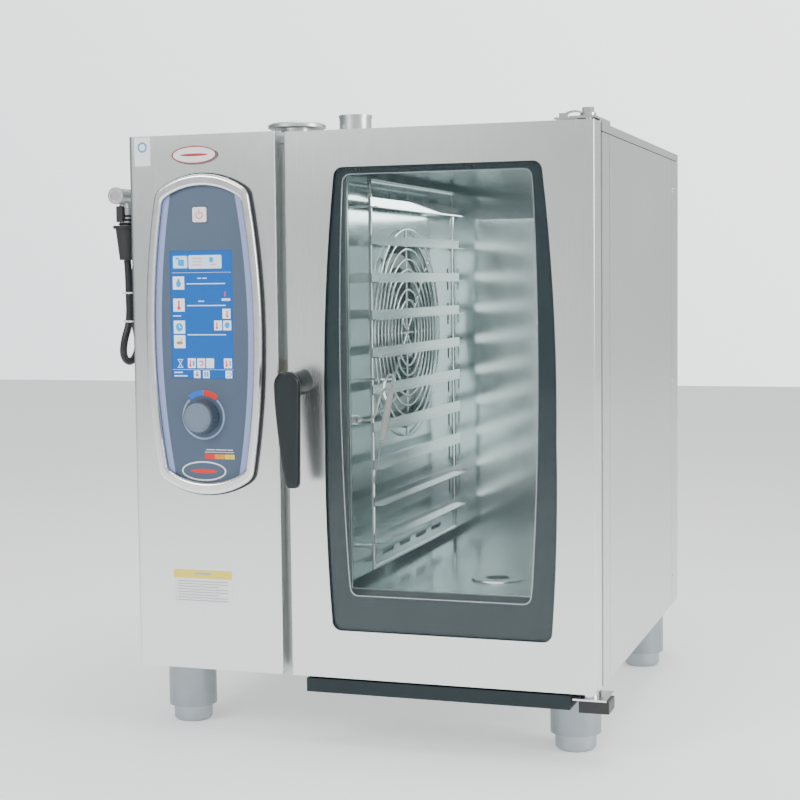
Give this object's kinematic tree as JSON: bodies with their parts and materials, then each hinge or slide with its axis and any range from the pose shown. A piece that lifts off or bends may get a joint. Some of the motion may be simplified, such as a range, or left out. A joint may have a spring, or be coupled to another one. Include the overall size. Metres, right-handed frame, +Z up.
{
  "type": "combi steamer oven",
  "caption": "Floor-standing combi steamer oven with a glazed hinged door, control column with dial, tray racks, fan, hand shower and adjustable feet.",
  "frame": {"origin": "on the floor, under the centre of the whole oven's box without its hose and probe lead", "axes": "+Z up, the door faces -Y, the hinge is on the +X side"},
  "size_m": [0.91, 0.964, 1.079],
  "materials": {
    "brushed_stainless": "brushed, satin",
    "cavity_stainless": "cold rolled, bright",
    "bright_steel": "polished",
    "shower_metal": "satin chrome",
    "turned_aluminium": "turned, satin",
    "dark_tray": "semi-gloss dark coating",
    "gasket_rubber": "matt",
    "mineral_wool": "fibrous",
    "motor_casting": "cast, painted",
    "fan_steel": "satin",
    "heater_sheath": "heat-tinted",
    "black_plastic": "fine texture",
    "handle_plastic": "satin, fine texture",
    "door_glass": "clear, slightly tinted",
    "panel_plastic": "satin",
    "screen_glass": "gloss",
    "button_plastic": "semi-gloss",
    "knob_plastic": "satin",
    "circuit_board": "matt",
    "tie_plastic": "matt",
    "fitting_metal": "satin chrome",
    "hose_rubber": "matt",
    "probe_lead": "satin",
    "probe_grip": "satin",
    "inlet_brass": "machined"
  },
  "bodies": {
    "cabinet": {"base_chassis": "brushed_stainless", "foot_sleeves": "brushed_stainless", "left_side_panel": "brushed_stainless", "right_side_panel": "brushed_stainless", "rear_panel": "brushed_stainless", "top_cover": "brushed_stainless", "fascia": "brushed_stainless", "column_partition": "brushed_stainless", "cavity_front_frame": "brushed_stainless", "flue_pipe": "brushed_stainless", "top_vent_cap": "brushed_stainless", "drain_pipe": "brushed_stainless", "steam_boiler": "brushed_stainless", "drip_tray": "dark_tray", "cavity_liner": "cavity_stainless", "air_baffle": "cavity_stainless", "fan_guard": "bright_steel", "control_bezel": "bright_steel", "top_hinge_bracket": "bright_steel", "bottom_hinge_bracket": "bright_steel", "casing_screws": "bright_steel", "probe_grommet": "bright_steel", "probe_needle": "bright_steel", "shower_body": "shower_metal", "door_gasket": "gasket_rubber", "insulation_wrap": "mineral_wool", "fan_motor": "motor_casting", "heating_coil": "heater_sheath", "bottom_hinge_cover": "black_plastic", "control_face": "panel_plastic", "display": "screen_glass", "control_board": "circuit_board", "shower_holder": "black_plastic", "hose_ties": "tie_plastic", "hose_fittings": "fitting_metal", "shower_hose": "hose_rubber", "probe_cable": "probe_lead", "probe_handle": "probe_grip", "water_inlet": "inlet_brass", "cable_gland": "black_plastic"},
    "door": {"door_skin": "brushed_stainless", "outer_glass": "door_glass", "inner_glass": "door_glass", "door_liner": "brushed_stainless", "hinge_bushes": "bright_steel", "handle_boss": "black_plastic"},
    "handle": {"handle_lever": "handle_plastic", "handle_shaft": "bright_steel"},
    "power_button": {"power_button": "button_plastic"},
    "dial_stem": {"dial_shaft": "bright_steel"},
    "dial_knob": {"dial_knob": "knob_plastic"},
    "fan": {"fan_wheel": "fan_steel"},
    "shower_trigger": {"shower_trigger": "black_plastic"},
    "strainer": {"drain_strainer": "bright_steel"},
    "left_rack": {"left_rack": "bright_steel"},
    "right_rack": {"right_rack": "bright_steel"},
    "foot_front_left": {"foot_front_left": "turned_aluminium"},
    "foot_front_right": {"foot_front_right": "turned_aluminium"},
    "foot_rear_left": {"foot_rear_left": "turned_aluminium"},
    "foot_rear_right": {"foot_rear_right": "turned_aluminium"}
  },
  "joints": [
    {"name": "door_swing", "type": "hinge", "parent": "cabinet", "child": "door", "pos_m": [0.4215, -0.3835, 1.042], "axis": [0, 0, 1], "range_deg": [0, 180]},
    {"name": "handle_turn", "type": "hinge", "parent": "door", "child": "handle", "pos_m": [-0.069, -0.412, 0.622], "axis": [0, -1, 0], "range_deg": [0, 90]},
    {"name": "power_button_press", "type": "slide", "parent": "cabinet", "child": "power_button", "axis": [0, 1, 0], "range_m": [0, 0.0015], "stiffness_N_per_m": 500, "springref_m": -0.002},
    {"name": "dial_press", "type": "slide", "parent": "cabinet", "child": "dial_stem", "axis": [0, 1, 0], "range_m": [0, 0.0015], "stiffness_N_per_m": 900, "springref_m": -0.003},
    {"name": "dial_turn", "type": "hinge", "parent": "dial_stem", "child": "dial_knob", "pos_m": [-0.2465, -0.432, 0.5605], "axis": [0, -1, 0], "continuous": true},
    {"name": "fan_spin", "type": "hinge", "parent": "cabinet", "child": "fan", "pos_m": [-0.043, -0.027, 0.692], "axis": [1, 0, 0], "continuous": true},
    {"name": "shower_trigger_squeeze", "type": "hinge", "parent": "cabinet", "child": "shower_trigger", "pos_m": [-0.429, -0.352, 0.926], "axis": [1, 0, 0], "range_deg": [0, 12], "stiffness_Nm_per_rad": 0.6, "springref_deg": -8.59},
    {"name": "strainer_lift", "type": "slide", "parent": "cabinet", "child": "strainer", "axis": [0, 0, 1], "range_m": [0, 0.15]},
    {"name": "left_rack_lift", "type": "slide", "parent": "cabinet", "child": "left_rack", "axis": [0, 0, 1], "range_m": [0, 0.012]},
    {"name": "right_rack_lift", "type": "slide", "parent": "cabinet", "child": "right_rack", "axis": [0, 0, 1], "range_m": [0, 0.012]},
    {"name": "foot_front_left_height", "type": "slide", "parent": "cabinet", "child": "foot_front_left", "axis": [0, 0, -1], "range_m": [0, 0.025]},
    {"name": "foot_front_right_height", "type": "slide", "parent": "cabinet", "child": "foot_front_right", "axis": [0, 0, -1], "range_m": [0, 0.025]},
    {"name": "foot_rear_left_height", "type": "slide", "parent": "cabinet", "child": "foot_rear_left", "axis": [0, 0, -1], "range_m": [0, 0.025]},
    {"name": "foot_rear_right_height", "type": "slide", "parent": "cabinet", "child": "foot_rear_right", "axis": [0, 0, -1], "range_m": [0, 0.025]}
  ]
}
